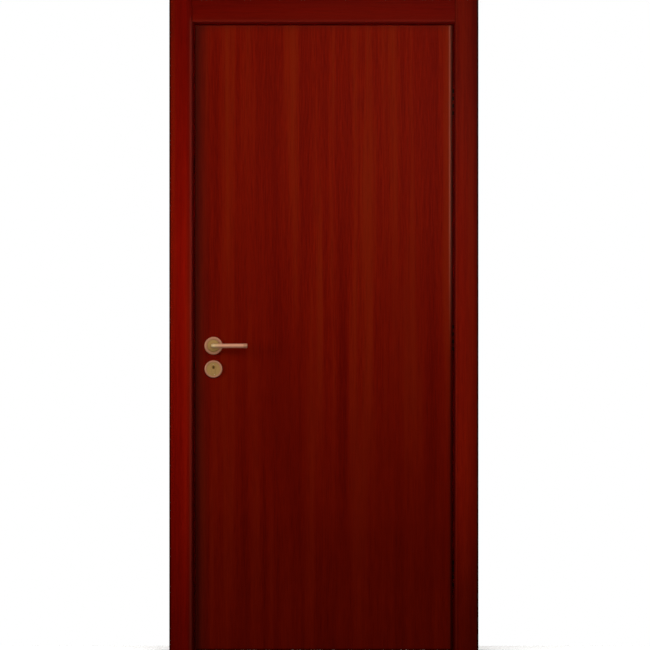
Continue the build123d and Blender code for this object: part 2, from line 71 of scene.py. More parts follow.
camera_data.lens = camera_data.sensor_width * camera_distance / view_height
camera = bpy.data.objects.new("camera", camera_data)
camera.location = (door_middle + view_shift, front_face_y - camera_distance, view_middle_height)
camera.rotation_euler = (math.radians(90), 0, 0)
bpy.context.scene.collection.objects.link(camera)
bpy.context.scene.camera = camera
bpy.context.scene.view_settings.view_transform = "Standard"


# Floor: a pale painted studio floor, level with the door's foot, that reaches well out in front and ends
# just behind the door.
def linear(hex_colour):
    """The linear RGBA of an sRGB colour written as a hex value."""
    channels = [(hex_colour >> shift & 255) / 255 for shift in (16, 8, 0)]
    return [c / 12.92 if c <= 0.04045 else ((c + 0.055) / 1.055) ** 2.4 for c in channels] + [1.0]


def node(tree, kind, settings=None, links=None):
    """Adds one node, sets its attributes and its sockets, and links its inputs. A socket that shares its
    name with others is given by its number."""
    made = tree.nodes.new(kind)
    for key, value in (settings or {}).items():
        if isinstance(key, str) and hasattr(made, key):
            setattr(made, key, value)
        else:
            made.inputs[key].default_value = value
    for key, source in (links or {}).items():
        tree.links.new(source, made.inputs[key])
    return made


def new_material(name):
    """A material with an empty node tree, and that tree."""
    material = bpy.data.materials.new(name)
    material.use_nodes = True
    material.node_tree.nodes.clear()
    return material, material.node_tree


# Matt floor paint: faintly clouded and without shine. The camera sees it pale, and every other ray sees it
# grey, so that the floor throws little light back up the door.
floor_cloud_mm = 333.0
floor_material, tree = new_material("pale_painted_studio_floor")
floor_cloud = node(
    tree,
    "ShaderNodeTexNoise",
    {"Scale": 1000.0 / floor_cloud_mm, "Detail": 3.0},
    {"Vector": node(tree, "ShaderNodeTexCoord").outputs["Object"]},
)
floor_shade = node(tree, "ShaderNodeValToRGB", links={"Fac": floor_cloud.outputs["Fac"]})
floor_shade.color_ramp.elements[0].color = linear(0xF2F2F0)
floor_shade.color_ramp.elements[1].color = linear(0xFAFAF8)
floor_tone = node(
    tree,
    "ShaderNodeMix",
    {"data_type": "RGBA", 6: linear(0x545452)},
    {0: node(tree, "ShaderNodeLightPath").outputs["Is Camera Ray"], 7: floor_shade.outputs["Color"]},
)
paint = node(tree, "ShaderNodeBsdfDiffuse", links={"Color": floor_tone.outputs[2]})
node(tree, "ShaderNodeOutputMaterial", links={"Surface": paint.outputs[0]})

floor_reach = 2.6
floor_behind = 0.15
floor_left = door_middle - floor_reach
floor_right = door_middle + floor_reach
floor_front = door_low.y - floor_reach
floor_back = door_high.y + floor_behind
floor_mesh = bpy.data.meshes.new("studio_floor")
floor_mesh.from_pydata(
    [
        (floor_left, floor_front, 0),
        (floor_right, floor_front, 0),
        (floor_right, floor_back, 0),
        (floor_left, floor_back, 0),
    ],
    [],
    [(0, 1, 2, 3)],
)
floor = bpy.data.objects.new("studio_floor", floor_mesh)
bpy.context.scene.collection.objects.link(floor)
floor.data.materials.append(floor_material)
floor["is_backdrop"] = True

# Surround: a plain white room. The camera sees it, and the metal mirrors it, as pure white, while it lights
# the door only weakly, because the lamps do that.
room_strength = 0.046
world = bpy.data.worlds.new("white_studio")
bpy.context.scene.world = world
world.use_nodes = True
tree = world.node_tree
tree.nodes.clear()
path = node(tree, "ShaderNodeLightPath")
direct = node(
    tree,
    "ShaderNodeMath",
    {"operation": "MAXIMUM"},
    {0: path.outputs["Is Camera Ray"], 1: path.outputs["Is Transmission Ray"]},
)
seen = node(
    tree,
    "ShaderNodeMath",
    {"operation": "MAXIMUM"},
    {0: direct.outputs[0], 1: path.outputs["Is Glossy Ray"]},
)
room = node(tree, "ShaderNodeBackground", {"Color": linear(0xFFFFFF), "Strength": room_strength})
white = node(tree, "ShaderNodeBackground", {"Color": linear(0xFFFFFF), "Strength": 1.0})
mix = node(tree, "ShaderNodeMixShader", links={0: seen.outputs[0], 1: room.outputs[0], 2: white.outputs[0]})
node(tree, "ShaderNodeOutputWorld", links={"Surface": mix.outputs[0]})


# Lamps: a broad soft one high in front and a little to the right, close enough for its light to fall off
# down the door, a weaker one on the left, one behind that leaves the floor alone, and one overhead for the
# floor only. A small one beside the camera shines into the gap round the leaf, and nothing mirrors it.
def soft_lamp(name, place, aim, size, spread, power):
    """A rectangular lamp: place, aim and size in metres, spread in degrees, power in watts."""
    data = bpy.data.lights.new(name, "AREA")
    data.spread = math.radians(spread)
    data.shape = "RECTANGLE"
    data.size, data.size_y = size
    data.energy = power
    lamp = bpy.data.objects.new(name, data)
    lamp.location = place
    lamp.rotation_euler = (Vector(aim) - Vector(place)).to_track_quat("-Z", "Y").to_euler()
    bpy.context.scene.collection.objects.link(lamp)
    return lamp


soft_lamp(
    "key",
    place=(door_middle + 0.75, -1.9, 1.9),
    aim=(door_middle + 0.1, 0, 1.9),
    size=(1.8, 0.7),
    spread=130,
    power=10,
)
gap_lamp = soft_lamp(
    "gap",
    place=(door_middle, -camera_distance, 1.07),
    aim=(door_middle, 0, 1.6),
    size=(0.3, 0.3),
    spread=20,
    power=4.2,
)
gap_lamp.visible_glossy = False
soft_lamp(
    "left",
    place=(door_middle - 2.6, -1.35, 1.45),
    aim=(door_middle, 0, 1.45),
    size=(0.6, 0.9),
    spread=125,
    power=17,
)
rear_lamp = soft_lamp(
    "rear",
    place=(door_middle + 1.0, 2.8, 2.2),
    aim=(door_middle, 0, 1.1),
    size=(1.8, 1.8),
    spread=180,
    power=60,
)
floor_lamp = soft_lamp(
    "overhead",
    place=(door_middle, -1.0, 3.6),
    aim=(door_middle, -1.0, 0),
    size=(5.2, 4.2),
    spread=180,
    power=270,
)
lit_floor = bpy.data.collections.new("floor_lit_from_overhead")
lit_floor.objects.link(floor)
floor_lamp.light_linking.receiver_collection = lit_floor
unlit_floor = bpy.data.collections.new("floor_kept_from_rear_lamp")
unlit_floor.objects.link(floor)
rear_lamp.light_linking.receiver_collection = unlit_floor
unlit_floor.collection_objects[0].light_linking.link_state = "EXCLUDE"

# Leaf faces: mahogany-type veneer pressed on to both skins, stained a deep red and sprayed with a thin
# satin lacquer. Straight fine grain runs the full height, browner where the figure is broad. Painted shade
# darkens the foot, the head and both sides, and painted highlights pale both side arrises, the hinge one up
# high.
leaf_low, leaf_high = (Vector(corner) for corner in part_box("front_skin"))
leaf_bands = [
    # Painted shade: the foot, nearly black over the gap below, and the head, dulled under the head piece.
    dict(axis="Z", start=leaf_low.z + 0.008, full=leaf_low.z + 0.003, tone=0x140000, strength=0.75),
    dict(axis="Z", start=leaf_high.z - 0.022, full=leaf_high.z - 0.002, tone=0x50180C, strength=0.35),
    # The lock side: painted shadow of the leg, darker and browner to its edge.
    dict(axis="X", start=leaf_low.x + 0.052, full=leaf_low.x + 0.002, tone=0x30100A, strength=0.7),
    # A faint painted highlight on the lock-side arris.
    dict(axis="X", start=leaf_low.x + 0.006, full=leaf_low.x + 0.003, tone=0x8A281C, strength=0.14),
    # The hinge side: a painted highlight on its arris up high, and painted shade by the gap and below.
    dict(
        axis="X",
        start=leaf_high.x - 0.0135,
        full=leaf_high.x - 0.0095,
        tone=0xA8604A,
        strength=0.42,
        kept=("Z", 1.0, 1.35),
    ),
    dict(axis="X", start=leaf_high.x - 0.0088, full=leaf_high.x - 0.0058, tone=0x300804, strength=0.85),
    dict(
        axis="X",
        start=leaf_high.x - 0.02,
        full=leaf_high.x,
        tone=0x2A0301,
        strength=0.55,
        kept=("Z", 1.2, 0.8),
    ),
    # Painted shade over the open face, a little deeper below the head and again at shin height.
    dict(
        axis="X",
        start=leaf_high.x - 0.05,
        full=leaf_high.x - 0.12,
        tone=0x200000,
        strength=0.05,
        kept=("Z", 1.95, 1.8),
    ),
    dict(axis="Z", start=0.47, full=0.38, tone=0x200000, strength=0.06, kept=("Z", 0.16, 0.26)),
]


def edge_band(tree, place, surface, axis, start, full, tone, strength, kept=None):
    """Tones the colour from none where a band starts to its strength where it is full, and holds it from
    there on. A second axis and pair of places keep the tone to one side of the piece."""
    parts = node(tree, "ShaderNodeSeparateXYZ", links={0: place})
    amount = node(
        tree,
        "ShaderNodeMapRange",
        {"From Min": start, "From Max": full, "To Max": strength},
        {"Value": parts.outputs[axis]},
    ).outputs[0]
    if kept:
        kept_axis, none_at, all_at = kept
        share = node(
            tree,
            "ShaderNodeMapRange",
            {"From Min": none_at, "From Max": all_at},
            {"Value": parts.outputs[kept_axis]},
        )
        amount = node(
            tree, "ShaderNodeMath", {"operation": "MULTIPLY"}, {0: amount, 1: share.outputs[0]}
        ).outputs[0]
    return node(
        tree, "ShaderNodeMix", {"data_type": "RGBA", 7: linear(tone)}, {0: amount, 6: surface}
    ).outputs[2]


def grain_scale(across_mm, along_mm, along):
    """The three scales at which one unit of a pattern is one line, drawn out along an axis."""
    scale = [1000.0 / across_mm] * 3
    scale["xyz".index(along)] = 1000.0 / along_mm
    return scale


# Real pores are about 0.2 mm wide and the finest lines under 1 mm apart. Both are drawn coarser, so that
# they show.
fine_grain_mm = 3.2
fine_grain_length_mm = 65.0
broad_grain_mm = 36.0
broad_grain_length_mm = 1600.0
pore_mm = 0.8
pore_length_mm = 14.0
fine_share = 0.48
darkest_grain = 0.34
lightest_grain = 0.66
brown_from_figure = 0.5
brown_full_figure = 0.66
brown_strength = 0.45
brown_from_height = 0.1
brown_full_height = 1.5
brown_at_foot = 0.15


def lacquered_veneer(name, dark, light, brown, along, bands):
    """Stained veneer under satin lacquer: dark and light lines in a broad, browner figure that fades out
    towards the foot, pores in faint relief, and a low sheen that is a little duller in the light lines.
    Lacquer usually mirrors far more. Next to nothing of that is left here, so that the red stays deep."""
    material, tree = new_material(name)
    place = node(tree, "ShaderNodeTexCoord").outputs["Object"]
    fine_place = node(
        tree,
        "ShaderNodeMapping",
        {"Scale": grain_scale(fine_grain_mm, fine_grain_length_mm, along)},
        {"Vector": place},
    )
    fine = node(
        tree,
        "ShaderNodeTexNoise",
        {"Scale": 1.0, "Detail": 3.0, "Roughness": 0.6, "Distortion": 0.2},
        {"Vector": fine_place.outputs[0]},
    )
    broad_place = node(
        tree,
        "ShaderNodeMapping",
        {"Scale": grain_scale(broad_grain_mm, broad_grain_length_mm, along)},
        {"Vector": place},
    )
    broad = node(
        tree,
        "ShaderNodeTexNoise",
        {"Scale": 1.0, "Detail": 3.0, "Roughness": 0.6},
        {"Vector": broad_place.outputs[0]},
    )
    pore_place = node(
        tree,
        "ShaderNodeMapping",
        {"Scale": grain_scale(pore_mm, pore_length_mm, along)},
        {"Vector": place},
    )
    pores = node(
        tree,
        "ShaderNodeTexNoise",
        {"Scale": 1.0, "Detail": 2.0, "Roughness": 0.6},
        {"Vector": pore_place.outputs[0]},
    )
    shade = node(
        tree,
        "ShaderNodeMix",
        {"data_type": "FLOAT", 0: fine_share},
        {2: broad.outputs["Fac"], 3: fine.outputs["Fac"]},
    )
    colour = node(tree, "ShaderNodeValToRGB", links={"Fac": shade.outputs[0]})
    colour.color_ramp.elements[0].position = darkest_grain
    colour.color_ramp.elements[0].color = linear(dark)
    colour.color_ramp.elements[1].position = lightest_grain
    colour.color_ramp.elements[1].color = linear(light)
    figure = node(
        tree,
        "ShaderNodeMapRange",
        {"From Min": brown_from_figure, "From Max": brown_full_figure, "To Max": brown_strength},
        {"Value": broad.outputs["Fac"]},
    )
    height = node(
        tree,
        "ShaderNodeMapRange",
        {"From Min": brown_from_height, "From Max": brown_full_height, "To Min": brown_at_foot},
        {"Value": node(tree, "ShaderNodeSeparateXYZ", links={0: place}).outputs["Z"]},
    )
    browned = node(
        tree, "ShaderNodeMath", {"operation": "MULTIPLY"}, {0: figure.outputs[0], 1: height.outputs[0]}
    )
    surface = node(
        tree,
        "ShaderNodeMix",
        {"data_type": "RGBA", 7: linear(brown)},
        {0: browned.outputs[0], 6: colour.outputs["Color"]},
    ).outputs[2]
    for band in bands:
        surface = edge_band(tree, place, surface, **band)
    relief = node(
        tree, "ShaderNodeBump", {"Strength": 0.25, "Distance": 0.0001}, {"Height": pores.outputs["Fac"]}
    )
    sheen = node(tree, "ShaderNodeMapRange", {"To Min": 0.36, "To Max": 0.5}, {"Value": fine.outputs["Fac"]})
    lacquer = node(
        tree,
        "ShaderNodeBsdfPrincipled",
        {"Specular IOR Level": 0.01},
        {"Base Color": surface, "Roughness": sheen.outputs[0], "Normal": relief.outputs["Normal"]},
    )
    node(tree, "ShaderNodeOutputMaterial", links={"Surface": lacquer.outputs[0]})
    return material


def dress(material, *names):
    """Gives CAD pieces a finish."""
    for name in names:
        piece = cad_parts[name]
        if piece.material_slots:
            piece.material_slots[0].material = material
        else:
            piece.data.materials.append(material)


leaf_veneer = lacquered_veneer(
    "satin_lacquered_mahogany_leaf",
    dark=0x600801,
    light=0x801402,
    brown=0x742206,
    along="z",
    bands=leaf_bands,
)
dress(leaf_veneer, "front_skin", "back_skin")

# Leaf edges: solid mahogany lippings glued round the core, planed flush with the skins and stained and
# lacquered to match the faces, a little browner and deeper.
lipping_stain = dict(dark=0x480A03, light=0x641808, brown=0x641808, bands=[])
upright_lipping = lacquered_veneer("stained_mahogany_lipping_upright", along="z", **lipping_stain)
level_lipping = lacquered_veneer("stained_mahogany_lipping_level", along="x", **lipping_stain)
dress(upright_lipping, "hinge_edge_lipping", "lock_edge_lipping")
dress(level_lipping, "bottom_lipping", "top_lipping")

# Core: light particle board pressed from chips and glued between the skins, so that it shows only inside
# the bored holes. Its chips are pale with darker edges, and rough enough to have no shine.
chip_mm = 4.0
particle_board, tree = new_material("pressed_particle_board")
chips = node(
    tree,
    "ShaderNodeTexVoronoi",
    {"Scale": 1000.0 / chip_mm},
    {"Vector": node(tree, "ShaderNodeTexCoord").outputs["Object"]},
)
chip_colour = node(tree, "ShaderNodeValToRGB", links={"Fac": chips.outputs["Distance"]})
chip_colour.color_ramp.elements[0].color = linear(0xC9A675)
chip_colour.color_ramp.elements[1].color = linear(0x8F6B3F)
board = node(tree, "ShaderNodeBsdfPrincipled", {"Roughness": 0.85}, {"Base Color": chip_colour.outputs[0]})
node(tree, "ShaderNodeOutputMaterial", links={"Surface": board.outputs[0]})
dress(particle_board, "leaf_core")

# Lining: jambs, head and stops of the same veneered board, screwed to the wall through packers. They carry
# the red stain of the legs, and painted shade makes their front edges nearly black beside the gap.
lining_front_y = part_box("hinge_jamb")[0][1]
# Painted shade of the gap, nearly black on the lining's front edges.
front_edge_painted_shade = dict(
    axis="Y", start=lining_front_y + 0.002, full=lining_front_y + 0.0005, tone=0x120000, strength=0.7
)
lining_stain_and_shade = dict(dark=0x780400, light=0x8E0801, brown=0x7E1002, bands=[front_edge_painted_shade])
jamb_veneer = lacquered_veneer("stained_mahogany_lining_upright", along="z", **lining_stain_and_shade)
head_veneer = lacquered_veneer("stained_mahogany_lining_level", along="x", **lining_stain_and_shade)
dress(jamb_veneer, "hinge_jamb", "lock_jamb", "hinge_stop", "lock_stop")
dress(head_veneer, "head_jamb", "head_stop")

# Architraves: rounded mouldings planted over the joint with the wall, full-height legs with the head piece
# between them. Painted shade darkens them towards the head and foot and over their rounded sides, nearly
# black on the outer edges, and painted highlights pale the inner edges.
lock_leg_low, lock_leg_high = (Vector(corner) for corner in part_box("front_architrave_lock_leg"))
hinge_leg_low, hinge_leg_high = (Vector(corner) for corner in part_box("front_architrave_hinge_leg"))
head_low, head_high = (Vector(corner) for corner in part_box("front_architrave_head"))
flank_depth = 0.0003
lock_leg_bands = [
    # Painted shade: deeper towards the head, at the foot and over both rounded sides.
    dict(axis="Z", start=1.15, full=2.1, tone=0x0A0100, strength=0.34),
    dict(axis="Z", start=0.45, full=0.1, tone=0x0A0100, strength=0.2),
    dict(axis="X", start=lock_leg_low.x + 0.035, full=lock_leg_low.x + 0.008, tone=0x0A0100, strength=0.2),
    dict(axis="X", start=lock_leg_high.x - 0.022, full=lock_leg_high.x - 0.01, tone=0x0A0100, strength=0.28),
    # A painted highlight on the inner edge, below the head piece.
    dict(
        axis="X",
        start=lock_leg_high.x - 0.012,
        full=lock_leg_high.x - 0.007,
        tone=0x7C3A30,
        strength=0.22,
        kept=("Z", head_low.z + 0.02, head_low.z),
    ),
    # Painted shade on the outer edge, all but its flat flank.
    dict(
        axis="X",
        start=lock_leg_low.x + 0.0075,
        full=lock_leg_low.x + 0.003,
        tone=0x1C0300,
        strength=0.85,
        kept=("X", lock_leg_low.x, lock_leg_low.x + flank_depth),
    ),
]
hinge_leg_bands = [
    # Painted shade: deeper towards the head, at the foot and over both rounded sides.
    dict(axis="Z", start=0.7, full=1.9, tone=0x0A0200, strength=0.45),
    dict(axis="Z", start=0.5, full=0.15, tone=0x0A0200, strength=0.35),
    dict(axis="X", start=hinge_leg_high.x - 0.05, full=hinge_leg_high.x - 0.008, tone=0x0A0200, strength=0.3),
    dict(axis="X", start=hinge_leg_low.x + 0.012, full=hinge_leg_low.x + 0.006, tone=0x0A0200, strength=0.08),
    # A painted highlight on the inner edge.
    dict(axis="X", start=hinge_leg_low.x + 0.005, full=hinge_leg_low.x + 0.002, tone=0x8A3020, strength=0.16),
    # Painted shade on the outer edge, all but its flat flank.
    dict(
        axis="X",
        start=hinge_leg_high.x - 0.0085,
        full=hinge_leg_high.x - 0.004,
        tone=0x180906,
        strength=0.85,
        kept=("X", hinge_leg_high.x, hinge_leg_high.x - flank_depth),
    ),
]
head_bands = [
    # A painted highlight on the lower edge, and painted shade over the top.
    dict(axis="Z", start=head_low.z + 0.011, full=head_low.z + 0.006, tone=0x743028, strength=0.15),
    dict(axis="Z", start=head_high.z - 0.03, full=head_high.z, tone=0x0A0100, strength=0.2),
]
lock_leg_veneer = lacquered_veneer(
    "satin_lacquered_mahogany_lock_leg",
    dark=0x760800,
    light=0x961003,
    brown=0x8E2005,
    along="z",
    bands=lock_leg_bands,
)
hinge_leg_veneer = lacquered_veneer(
    "satin_lacquered_mahogany_hinge_leg",
    dark=0x740D03,
    light=0x961B06,
    brown=0x8A2409,
    along="z",
    bands=hinge_leg_bands,
)
# The head piece's stain is a darker copy of the legs': painted shade at the top of the frame.
head_piece_veneer = lacquered_veneer(
    "satin_lacquered_mahogany_head_piece",
    dark=0x560500,
    light=0x6E0A01,
    brown=0x640E02,
    along="x",
    bands=head_bands,
)
dress(lock_leg_veneer, "front_architrave_lock_leg", "back_architrave_lock_leg")
dress(hinge_leg_veneer, "front_architrave_hinge_leg", "back_architrave_hinge_leg")
dress(head_piece_veneer, "front_architrave_head", "back_architrave_head")

# Seals: red-brown extruded rubber, a hollow bulb whose stem is pressed into a groove in each stop. The
# rubber is dull and even, broken up only by a faint bloom.
bloom_mm = 1.5
seal_rubber, tree = new_material("extruded_red_brown_seal_rubber")
bloom = node(
    tree,
    "ShaderNodeTexNoise",
    {"Scale": 1000.0 / bloom_mm, "Detail": 2.0},
    {"Vector": node(tree, "ShaderNodeTexCoord").outputs["Object"]},
)
rubber_colour = node(tree, "ShaderNodeValToRGB", links={"Fac": bloom.outputs["Fac"]})
rubber_colour.color_ramp.elements[0].color = linear(0x8C0F06)
rubber_colour.color_ramp.elements[1].color = linear(0x9E180A)
rubber = node(
    tree,
    "ShaderNodeBsdfPrincipled",
    {"Roughness": 0.7, "Specular IOR Level": 0.05},
    {"Base Color": rubber_colour.outputs[0]},
)
node(tree, "ShaderNodeOutputMaterial", links={"Surface": rubber.outputs[0]})
dress(seal_rubber, "hinge_seal", "lock_seal", "head_seal")

# Concealed hinges: zinc castings with steel links, let into the jamb and the leaf's edge. A dark bronze
# powder coat leaves them nearly black, matt and faintly pebbled.
coat_grain_mm = 0.9
powder_coat, tree = new_material("dark_bronze_powder_coat")
coat = node(
    tree,
    "ShaderNodeTexNoise",
    {"Scale": 1000.0 / coat_grain_mm, "Detail": 2.0},
    {"Vector": node(tree, "ShaderNodeTexCoord").outputs["Object"]},
)
coat_colour = node(tree, "ShaderNodeValToRGB", links={"Fac": coat.outputs["Fac"]})
coat_colour.color_ramp.elements[0].color = linear(0x1A0D0A)
coat_colour.color_ramp.elements[1].color = linear(0x2A1812)
coat_relief = node(
    tree, "ShaderNodeBump", {"Strength": 0.2, "Distance": 0.0001}, {"Height": coat.outputs["Fac"]}
)
powder = node(
    tree,
    "ShaderNodeBsdfPrincipled",
    {"Roughness": 0.6, "Specular IOR Level": 0.05},
    {"Base Color": coat_colour.outputs[0], "Normal": coat_relief.outputs["Normal"]},
)
node(tree, "ShaderNodeOutputMaterial", links={"Surface": powder.outputs[0]})
levels = ("lower", "middle", "upper")
for level in levels:
    dress(powder_coat, f"{level}_frame_hinge", f"{level}_leaf_hinge", f"{level}_hinge_link")

# Hinge screws: two in each plate, countersunk, of steel blackened in an oxide bath, which leaves a dull
# brownish black. Its cloud is drawn at 0.4 mm, coarser than the real one, so that it shows.
oxide_mm = 0.4
black_screw, tree = new_material("blackened_steel_screw")
oxide = node(
    tree,
    "ShaderNodeTexNoise",
    {"Scale": 1000.0 / oxide_mm, "Detail": 2.0},
    {"Vector": node(tree, "ShaderNodeTexCoord").outputs["Object"]},
)
oxide_colour = node(tree, "ShaderNodeValToRGB", links={"Fac": oxide.outputs["Fac"]})
oxide_colour.color_ramp.elements[0].color = linear(0x2B2320)
oxide_colour.color_ramp.elements[1].color = linear(0x453A35)
black_steel = node(
    tree,
    "ShaderNodeBsdfPrincipled",
    {"Metallic": 1.0, "Roughness": 0.45},
    {"Base Color": oxide_colour.outputs[0]},
)
node(tree, "ShaderNodeOutputMaterial", links={"Surface": black_steel.outputs[0]})


def round_outline(radius, sides):
    """The corners of a regular outline about the middle."""
    angles = [math.tau * i / sides for i in range(sides)]
    return [(radius * math.cos(a), radius * math.sin(a)) for a in angles]


def turned_mesh(name, profile, opening, depth, sides):
    """Spins a half outline, given from the face round to the back, about its own axis, Z, and sinks an
    opening into the face, through to the back where its depth is None. The faces meet all round."""
    sharp_angle = math.radians(35)
    shape = bmesh.new()
    around = round_outline(1.0, sides)
    rings = [[shape.verts.new((radius * c, radius * s, out)) for c, s in around] for radius, out in profile]
    for inner, outer in zip(rings, rings[1:]):
        for i in range(sides):
            j = (i + 1) % sides
            shape.faces.new((inner[i], inner[j], outer[j], outer[i]))
    face_out, back_out = profile[0][1], profile[-1][1]
    foot_out = back_out if depth is None else face_out - depth
    mouth = [shape.verts.new((x, y, face_out)) for x, y in opening]
    foot = [shape.verts.new((x, y, foot_out)) for x, y in opening]
    for i in range(len(opening)):
        j = (i + 1) % len(opening)
        shape.faces.new((mouth[i], mouth[j], foot[j], foot[i]))

    def loop(verts):
        pairs = zip(verts, verts[1:] + verts[:1])
        return [shape.edges.get(pair) or shape.edges.new(pair) for pair in pairs]

    bmesh.ops.triangle_fill(shape, use_beauty=True, edges=loop(rings[0]) + loop(mouth))
    if depth is None:
        bmesh.ops.triangle_fill(shape, use_beauty=True, edges=loop(rings[-1]) + loop(foot))
    else:
        shape.faces.new(foot)
        shape.faces.new(rings[-1])
    bmesh.ops.recalc_face_normals(shape, faces=shape.faces)
    for face in shape.faces:
        face.smooth = True
    for edge in shape.edges:
        edge.smooth = edge.calc_face_angle(0.0) < sharp_angle
    mesh = bpy.data.meshes.new(name)
    shape.to_mesh(mesh)
    shape.free()
    return mesh


def fastener_nodes():
    """Puts one copy of a fastener on every point, along the point's facing and turned by chance, up to
    the largest turn."""
    tree = bpy.data.node_groups.new("fasteners_on_points", "GeometryNodeTree")
    for name, kind in (
        ("Points", "NodeSocketGeometry"),
        ("Fastener", "NodeSocketObject"),
        ("Finish", "NodeSocketMaterial"),
        ("Largest Turn", "NodeSocketFloat"),
        ("Seed", "NodeSocketInt"),
    ):
        tree.interface.new_socket(name, in_out="INPUT", socket_type=kind)
    tree.interface.new_socket("Fasteners", in_out="OUTPUT", socket_type="NodeSocketGeometry")
    given = node(tree, "NodeGroupInput")
    copy = node(tree, "GeometryNodeObjectInfo", links={"Object": given.outputs["Fastener"]})
    facing = node(tree, "GeometryNodeInputNamedAttribute", {"data_type": "FLOAT_VECTOR", "Name": "facing"})
    aligned = node(
        tree, "FunctionNodeAlignRotationToVector", {"axis": "Z"}, {"Vector": facing.outputs["Attribute"]}
    )
    chance = node(
        tree,
        "FunctionNodeRandomValue",
        {"data_type": "FLOAT", 2: 0.0},
        {3: given.outputs["Largest Turn"], "Seed": given.outputs["Seed"]},
    )
    turn = node(
        tree, "FunctionNodeAxisAngleToRotation", {"Axis": (0, 0, 1)}, {"Angle": chance.outputs[1]}
    )
    turned = node(
        tree,
        "FunctionNodeRotateRotation",
        {"rotation_space": "LOCAL"},
        {"Rotation": aligned.outputs[0], "Rotate By": turn.outputs[0]},
    )
    copies = node(
        tree,
        "GeometryNodeInstanceOnPoints",
        links={
            "Points": given.outputs["Points"],
            "Instance": copy.outputs["Geometry"],
            "Rotation": turned.outputs[0],
        },
    )
    real = node(tree, "GeometryNodeRealizeInstances", links={"Geometry": copies.outputs[0]})
    finished = node(
        tree,
        "GeometryNodeSetMaterial",
        links={"Geometry": real.outputs[0], "Material": given.outputs["Finish"]},
    )
    node(tree, "NodeGroupOutput", links={"Fasteners": finished.outputs[0]})
    return tree


fastener_tree = fastener_nodes()
largest_turn = math.pi / 2


def fasteners(name, places, mesh, seed, body):
    """One piece of a body's fasteners, from pairs of a place and the way it faces."""
    points = bpy.data.meshes.new(name)
    points.from_pydata([place for place, _ in places], [], [])
    facing = points.attributes.new("facing", "FLOAT_VECTOR", "POINT")
    for entry, (_, way) in zip(facing.data, places):
        entry.vector = way
    piece = bpy.data.objects.new(name, points)
    bpy.context.scene.collection.objects.link(piece)
    template = bpy.data.objects.new(name + "_template", mesh)
    modifier = piece.modifiers.new("fasteners", "NODES")
    modifier.node_group = fastener_tree
    sockets = {item.name: item.identifier for item in fastener_tree.interface.items_tree}
    modifier[sockets["Fastener"]] = template
    modifier[sockets["Finish"]] = black_screw
    modifier[sockets["Largest Turn"]] = largest_turn
    modifier[sockets["Seed"]] = seed
    made = bpy.data.meshes.new_from_object(piece.evaluated_get(bpy.context.evaluated_depsgraph_get()))
    piece.modifiers.clear()
    piece.data = made
    bpy.data.objects.remove(template)
    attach(piece, body)


hinge_screw_inset = 0.011
cross_reach = 0.0022
cross_width = 0.00055
cross_depth = 0.0012
screw_sides = 32
cross = []
cross_arm = [(cross_reach, -cross_width), (cross_reach, cross_width), (cross_width, cross_width)]
for quarter in range(4):
    cross += cross_arm
    cross_arm = [(-y, x) for x, y in cross_arm]
# Radius and height at the face's edge, the head's rim, the foot of the countersink and the shank.
screw_profile = [(0.0037, -0.0002), (0.00405, -0.0004), (0.0022, -0.0024), (0.0021, -0.0029)]
screw_mesh = turned_mesh("cross_head_screw", screw_profile, cross, cross_depth, screw_sides)
frame_screws = []
leaf_screws = []
for level in levels:
    for node_name, way, found in (
        (f"{level}_frame_hinge", -1, frame_screws),
        (f"{level}_leaf_hinge", 1, leaf_screws),
    ):
        low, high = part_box(node_name)
        face_x = low[0] if way < 0 else high[0]
        middle_y = (low[1] + high[1]) / 2
        for z in (low[2] + hinge_screw_inset, high[2] - hinge_screw_inset):
            found.append(((face_x, middle_y, z), (way, 0, 0)))
fasteners("frame_hinge_screws", frame_screws, screw_mesh, seed=11, body="lining")
fasteners("leaf_hinge_screws", leaf_screws, screw_mesh, seed=12, body="leaf")

# Mortise lock: a steel case let into the lock edge, with plain bolts and a square spindle, all of drawn
# steel. Drawing leaves it bright grey, finely scored along its length and duller in places.

# Real scores are under 0.1 mm apart. They are drawn coarser, so that they show.
score_mm = 0.5
score_length_mm = 60.0
drawn_steel, tree = new_material("drawn_steel_bolts_and_case")
score_place = node(
    tree,
    "ShaderNodeMapping",
    {"Scale": grain_scale(score_mm, score_length_mm, "z")},
    {"Vector": node(tree, "ShaderNodeTexCoord").outputs["Object"]},
)
scoring = node(
    tree, "ShaderNodeTexNoise", {"Scale": 1.0, "Detail": 2.0}, {"Vector": score_place.outputs[0]}
)
steel_colour = node(tree, "ShaderNodeValToRGB", links={"Fac": scoring.outputs["Fac"]})
steel_colour.color_ramp.elements[0].color = linear(0x8C867E)
steel_colour.color_ramp.elements[1].color = linear(0xB4AEA5)
steel_sheen = node(
    tree, "ShaderNodeMapRange", {"To Min": 0.25, "To Max": 0.42}, {"Value": scoring.outputs["Fac"]}
)
steel = node(
    tree,
    "ShaderNodeBsdfPrincipled",
    {"Metallic": 1.0},
    {"Base Color": steel_colour.outputs[0], "Roughness": steel_sheen.outputs[0]},
)
node(tree, "ShaderNodeOutputMaterial", links={"Surface": steel.outputs[0]})
dress(drawn_steel, "lock_case", "latch_bolt", "dead_bolt", "spindle")

